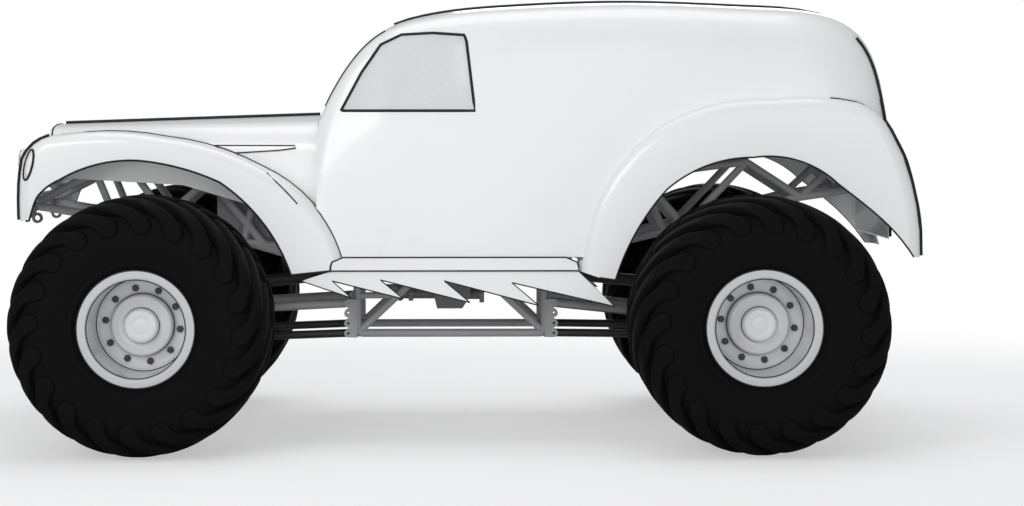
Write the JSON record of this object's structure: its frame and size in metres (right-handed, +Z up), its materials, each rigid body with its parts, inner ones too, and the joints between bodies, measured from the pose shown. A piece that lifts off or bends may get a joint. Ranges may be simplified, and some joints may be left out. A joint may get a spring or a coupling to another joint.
{
  "type": "monster truck",
  "caption": "Monster truck with a smooth panel-van shell, pontoon fenders, tube frame, four-wheel steering and lugged terra tyres.",
  "frame": {"origin": "on the ground, under the middle of the truck's box", "axes": "+X forward, +Y to the truck's left, +Z up"},
  "size_m": [6.004, 3.8, 2.9784],
  "materials": {
    "body": "white gel coat over fibreglass, gloss",
    "frame": "mid grey powder coat",
    "cast": "cast, painted",
    "steel": "bare turned steel",
    "axle": "black paint",
    "link": "grey powder coat",
    "shock": "anodised body, chromed shaft",
    "trim": "silver paint",
    "lamp": "moulded lens in a white can",
    "glass": "clear polycarbonate",
    "floor": "bare sheet",
    "seat": "black cloth over a shell",
    "control": "black grip",
    "chrome": "hard chrome",
    "wheel": "light grey paint",
    "tyre": "dark tread rubber"
  },
  "bodies": {
    "chassis": {"frame_belly": "frame", "frame_front": "frame", "frame_rear": "frame", "roll_cage": "frame", "engine_block": "cast", "transfer_case": "cast", "driveshafts": "steel", "axle_front": "axle", "axle_rear": "axle", "suspension_links": "link", "shocks": "shock", "roof_panel": "body", "side_panel_left": "body", "side_panel_right": "body", "rear_doors": "body", "cowl": "body", "hood": "body", "front_fenders": "body", "running_boards": "body", "side_skirts": "body", "grille": "trim", "headlamps": "lamp", "front_bumper": "trim", "tow_eyes": "steel", "windshield": "glass", "side_windows": "glass", "rear_windows": "glass", "cab_floor": "floor", "seat": "seat", "steering_wheel": "control"},
    "knuckle_front_left": {"knuckle_front_left": "axle"},
    "wheel_front_left": {"wheel_front_left": "wheel", "tyre_front_left": "tyre"},
    "knuckle_front_right": {"knuckle_front_right": "axle"},
    "wheel_front_right": {"wheel_front_right": "wheel", "tyre_front_right": "tyre"},
    "tie_rod_front": {"tie_rod_front": "steel"},
    "ram_rod_front": {"ram_rod_front": "chrome"},
    "knuckle_rear_left": {"knuckle_rear_left": "axle"},
    "wheel_rear_left": {"wheel_rear_left": "wheel", "tyre_rear_left": "tyre"},
    "knuckle_rear_right": {"knuckle_rear_right": "axle"},
    "wheel_rear_right": {"wheel_rear_right": "wheel", "tyre_rear_right": "tyre"},
    "tie_rod_rear": {"tie_rod_rear": "steel"},
    "ram_rod_rear": {"ram_rod_rear": "chrome"}
  },
  "joints": [
    {"name": "steer_front_left", "type": "hinge", "parent": "chassis", "child": "knuckle_front_left", "pos_m": [2.122, 0.98, 0.838], "axis": [0, 0, 1], "range_deg": [-25, 25]},
    {"name": "roll_front_left", "type": "hinge", "parent": "knuckle_front_left", "child": "wheel_front_left", "pos_m": [2.122, 1.355, 0.838], "axis": [0, 1, 0], "continuous": true},
    {"name": "steer_front_right", "type": "hinge", "parent": "chassis", "child": "knuckle_front_right", "pos_m": [2.122, -0.98, 0.838], "axis": [0, 0, 1], "range_deg": [-25, 25]},
    {"name": "roll_front_right", "type": "hinge", "parent": "knuckle_front_right", "child": "wheel_front_right", "pos_m": [2.122, -1.355, 0.838], "axis": [0, 1, 0], "continuous": true},
    {"name": "tie_rod_front_swing", "type": "hinge", "parent": "knuckle_front_left", "child": "tie_rod_front", "pos_m": [2.342, 0.98, 0.908], "axis": [0, 0, 1], "range_deg": [-25.5, 25.5]},
    {"name": "ram_front_slide", "type": "slide", "parent": "chassis", "child": "ram_rod_front", "axis": [0, 1, 0], "range_m": [-0.0965, 0.0965]},
    {"name": "steer_rear_left", "type": "hinge", "parent": "chassis", "child": "knuckle_rear_left", "pos_m": [-1.878, 0.98, 0.838], "axis": [0, 0, 1], "range_deg": [-25, 25]},
    {"name": "roll_rear_left", "type": "hinge", "parent": "knuckle_rear_left", "child": "wheel_rear_left", "pos_m": [-1.878, 1.355, 0.838], "axis": [0, 1, 0], "continuous": true},
    {"name": "steer_rear_right", "type": "hinge", "parent": "chassis", "child": "knuckle_rear_right", "pos_m": [-1.878, -0.98, 0.838], "axis": [0, 0, 1], "range_deg": [-25, 25]},
    {"name": "roll_rear_right", "type": "hinge", "parent": "knuckle_rear_right", "child": "wheel_rear_right", "pos_m": [-1.878, -1.355, 0.838], "axis": [0, 1, 0], "continuous": true},
    {"name": "tie_rod_rear_swing", "type": "hinge", "parent": "knuckle_rear_left", "child": "tie_rod_rear", "pos_m": [-2.098, 0.98, 0.908], "axis": [0, 0, 1], "range_deg": [-25.5, 25.5]},
    {"name": "ram_rear_slide", "type": "slide", "parent": "chassis", "child": "ram_rod_rear", "axis": [0, 1, 0], "range_m": [-0.0965, 0.0965]}
  ],
  "couplings": [
    {"joint": "steer_front_right", "follows": "steer_front_left", "ratio": 1},
    {"joint": "tie_rod_front_swing", "follows": "steer_front_left", "ratio": -1},
    {"joint": "ram_front_slide", "follows": "steer_front_left", "m_per_rad": 0.22},
    {"joint": "steer_rear_right", "follows": "steer_rear_left", "ratio": 1},
    {"joint": "tie_rod_rear_swing", "follows": "steer_rear_left", "ratio": -1},
    {"joint": "ram_rear_slide", "follows": "steer_rear_left", "m_per_rad": -0.22}
  ]
}
